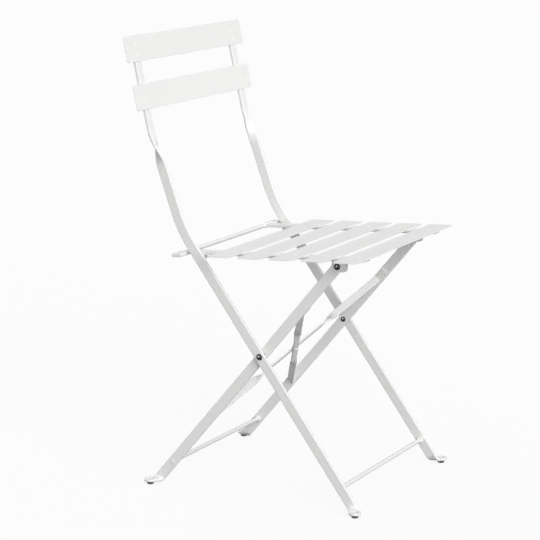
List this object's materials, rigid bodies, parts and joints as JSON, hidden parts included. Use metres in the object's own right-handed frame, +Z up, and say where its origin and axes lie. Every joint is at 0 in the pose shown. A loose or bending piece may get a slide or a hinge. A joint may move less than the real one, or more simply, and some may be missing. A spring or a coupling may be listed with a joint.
{
  "type": "folding chair",
  "caption": "Metal folding chair with crossed flat-bar legs, a slatted seat, a two-slat back and twisted flat-bar back uprights that lean back.",
  "frame": {"origin": "on the floor, at the middle of the open chair's outline in plan", "axes": "+Z up; the sitter faces -Y; +X is the sitter's left"},
  "size_m": [0.428, 0.4635, 0.8217],
  "materials": {
    "white_powder_coat": "satin white powder coat on steel",
    "pivot_steel": "plain bright steel, darkened with handling",
    "glide_plastic": "dark grey moulded plastic"
  },
  "bodies": {
    "back_frame": {"back_leg_left": "white_powder_coat", "back_leg_right": "white_powder_coat", "upper_back_slat": "white_powder_coat", "lower_back_slat": "white_powder_coat", "back_slat_rivets": "white_powder_coat", "front_cross_rod": "white_powder_coat", "stop_pin_left": "white_powder_coat", "stop_pin_right": "white_powder_coat", "front_glide_left": "glide_plastic", "front_glide_right": "glide_plastic", "front_glide_rivets": "white_powder_coat", "leg_pivot_rivet_left": "pivot_steel", "leg_pivot_rivet_right": "pivot_steel", "pivot_washers": "pivot_steel"},
    "rear_leg_frame": {"rear_leg_left": "white_powder_coat", "rear_leg_right": "white_powder_coat", "rear_cross_rod": "white_powder_coat", "brace_a": "white_powder_coat", "brace_b": "white_powder_coat", "brace_rivet": "white_powder_coat", "rear_glide_left": "glide_plastic", "rear_glide_right": "glide_plastic", "rear_glide_rivets": "white_powder_coat", "seat_pivot_rivet_left": "pivot_steel", "seat_pivot_rivet_right": "pivot_steel"},
    "seat": {"seat_slat_1": "white_powder_coat", "seat_slat_2": "white_powder_coat", "seat_slat_3": "white_powder_coat", "seat_slat_4": "white_powder_coat", "seat_slat_5": "white_powder_coat", "seat_rail_left": "white_powder_coat", "seat_rail_right": "white_powder_coat", "seat_rivets": "white_powder_coat", "rear_bar": "white_powder_coat", "pivot_bracket_left": "white_powder_coat", "pivot_bracket_right": "white_powder_coat"}
  },
  "joints": [
    {"name": "leg_fold", "type": "hinge", "parent": "back_frame", "child": "rear_leg_frame", "pos_m": [0, -0.02545, 0.264], "axis": [-1, 0, 0], "range_deg": [0, 56]},
    {"name": "seat_fold", "type": "hinge", "parent": "rear_leg_frame", "child": "seat", "pos_m": [0, -0.17283, 0.43901], "axis": [1, 0, 0], "range_deg": [0, 108]}
  ],
  "couplings": [
    {"joint": "seat_fold", "follows": "leg_fold", "ratio": 1.92}
  ]
}
